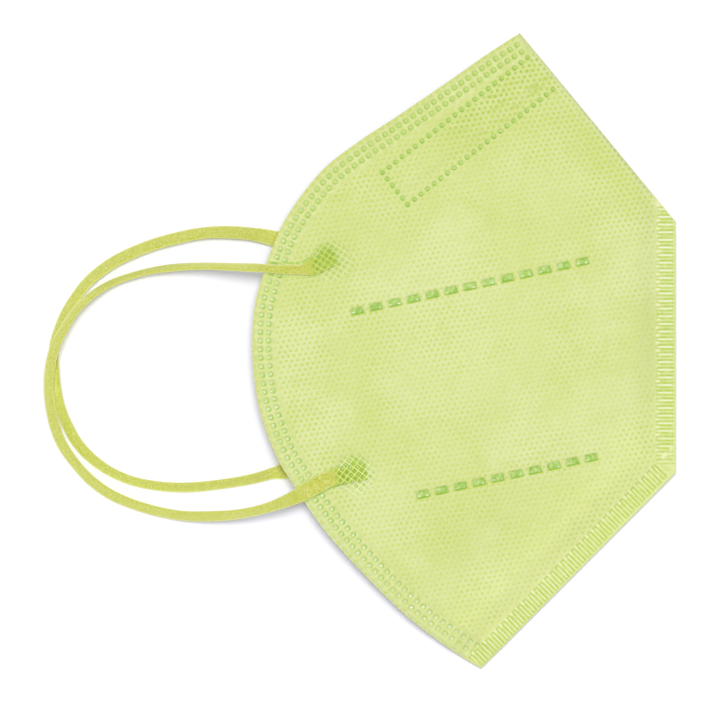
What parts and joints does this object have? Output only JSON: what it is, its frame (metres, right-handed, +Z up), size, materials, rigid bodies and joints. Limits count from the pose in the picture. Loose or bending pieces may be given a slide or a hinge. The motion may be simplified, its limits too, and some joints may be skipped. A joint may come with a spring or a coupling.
{
  "type": "disposable respirator",
  "caption": "Flat-fold filtering half mask lying on its side: folded laminate body with welded seam edge, pocketed nose wire and flat elastic ear loops.",
  "frame": {"origin": "middle of the mask body's footprint, without the ear loops, on the surface that it lies on", "axes": "+Z up from the surface, +Y towards the nose, +X towards the welded front seam; the open face edge and the ear loops are towards -X"},
  "size_m": [0.1595, 0.1604, 0.017],
  "materials": {
    "fabric": "matt dimpled nonwoven, lime green",
    "wire": "plastic-coated flat wire",
    "strap": "matt knitted elastic, yellow-green"
  },
  "bodies": {
    "root": {"mask_body": "fabric", "nose_wire": "wire", "ear_loop_right": "strap", "ear_loop_left": "strap"}
  },
  "joints": []
}
